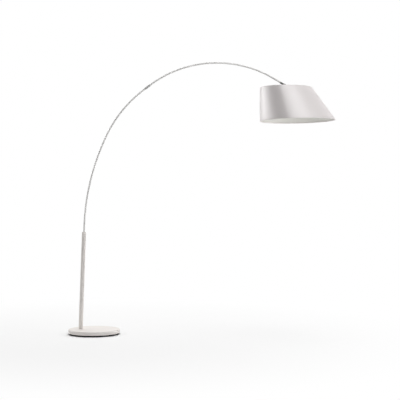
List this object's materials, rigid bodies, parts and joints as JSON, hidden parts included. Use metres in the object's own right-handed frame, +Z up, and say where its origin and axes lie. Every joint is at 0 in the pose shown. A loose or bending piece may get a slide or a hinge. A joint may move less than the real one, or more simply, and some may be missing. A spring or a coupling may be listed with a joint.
{
  "type": "arc floor lamp",
  "caption": "Arc floor lamp: weighted round base, leaning pole, thin swinging arm bent over in a wide arc, and a tilting and turning oblique white shade at its end.",
  "frame": {"origin": "centre of the base pad's underside, on the floor", "axes": "+Z up, +X from the pole towards the shade in the plane of the arc, +Y to the back"},
  "size_m": [1.9059, 0.541, 1.9397],
  "materials": {
    "white_paint": "satin white powder coat",
    "shade_laminate": "stiff satin white laminate",
    "white_wire": "white dipped wire",
    "black_rubber": "matt black",
    "iron": "raw casting",
    "zinc_steel": "zinc plated",
    "dark_metal": "satin gunmetal",
    "nylon": "natural nylon",
    "fibre": "red fibre",
    "black_holder": "satin black moulding",
    "porcelain": "unglazed white",
    "brass": "plain",
    "bulb_metal": "rolled cap",
    "bulb_black": "black glass",
    "bulb_frosted": "white frosted",
    "lead_white": "white sheath",
    "terminal_white": "plain"
  },
  "bodies": {
    "stand": {"base_pad": "black_rubber", "base_weight": "iron", "base_cover": "white_paint", "cord_gland": "black_rubber", "terminal_block": "terminal_white", "base_lead": "lead_white", "pole_foot": "zinc_steel", "foot_washer": "zinc_steel", "foot_nut": "zinc_steel", "pole_tube": "white_paint", "pole_cap": "white_paint", "arm_bush": "nylon", "friction_screw": "zinc_steel", "foot_bush": "nylon", "stop_screw": "zinc_steel"},
    "arm": {"arm_foot": "zinc_steel", "arm_lower_tube": "white_paint", "arm_spigot": "zinc_steel", "arm_sleeve": "white_paint", "sleeve_screws": "zinc_steel", "arm_upper_tube": "white_paint", "arm_lead": "lead_white", "swivel_fork": "dark_metal", "fork_screw": "zinc_steel", "pivot_screws": "dark_metal", "friction_washers": "fibre"},
    "head": {"swivel_tongue": "dark_metal", "stem_locknut": "dark_metal", "holder_cap": "black_holder", "holder_core": "porcelain", "terminal_screws": "brass", "holder_skirt": "black_holder", "contact_shell": "brass", "contact_centre": "brass", "shade_ring": "black_holder", "bulb_cap": "bulb_metal", "bulb_insulator": "bulb_black", "bulb_globe": "bulb_frosted", "head_lead": "lead_white"},
    "shade": {"shade_top_ring": "white_wire", "shade_hub": "white_wire", "shade_spokes": "white_wire", "shade_bottom_ring": "white_wire", "shade_skin": "shade_laminate"}
  },
  "joints": [
    {"name": "arm_swing", "type": "hinge", "parent": "stand", "child": "arm", "pos_m": [-0.07187, 0, 0.72808], "axis": [0.0349, 0, 0.9994], "range_deg": [-80, 80]},
    {"name": "shade_tilt", "type": "hinge", "parent": "arm", "child": "head", "pos_m": [1.36643, 0, 1.77036], "axis": [0, 1, 0], "range_deg": [-35, 25]},
    {"name": "shade_turn", "type": "hinge", "parent": "head", "child": "shade", "pos_m": [1.36643, 0, 1.77036], "axis": [0, 0, 1], "continuous": true}
  ]
}
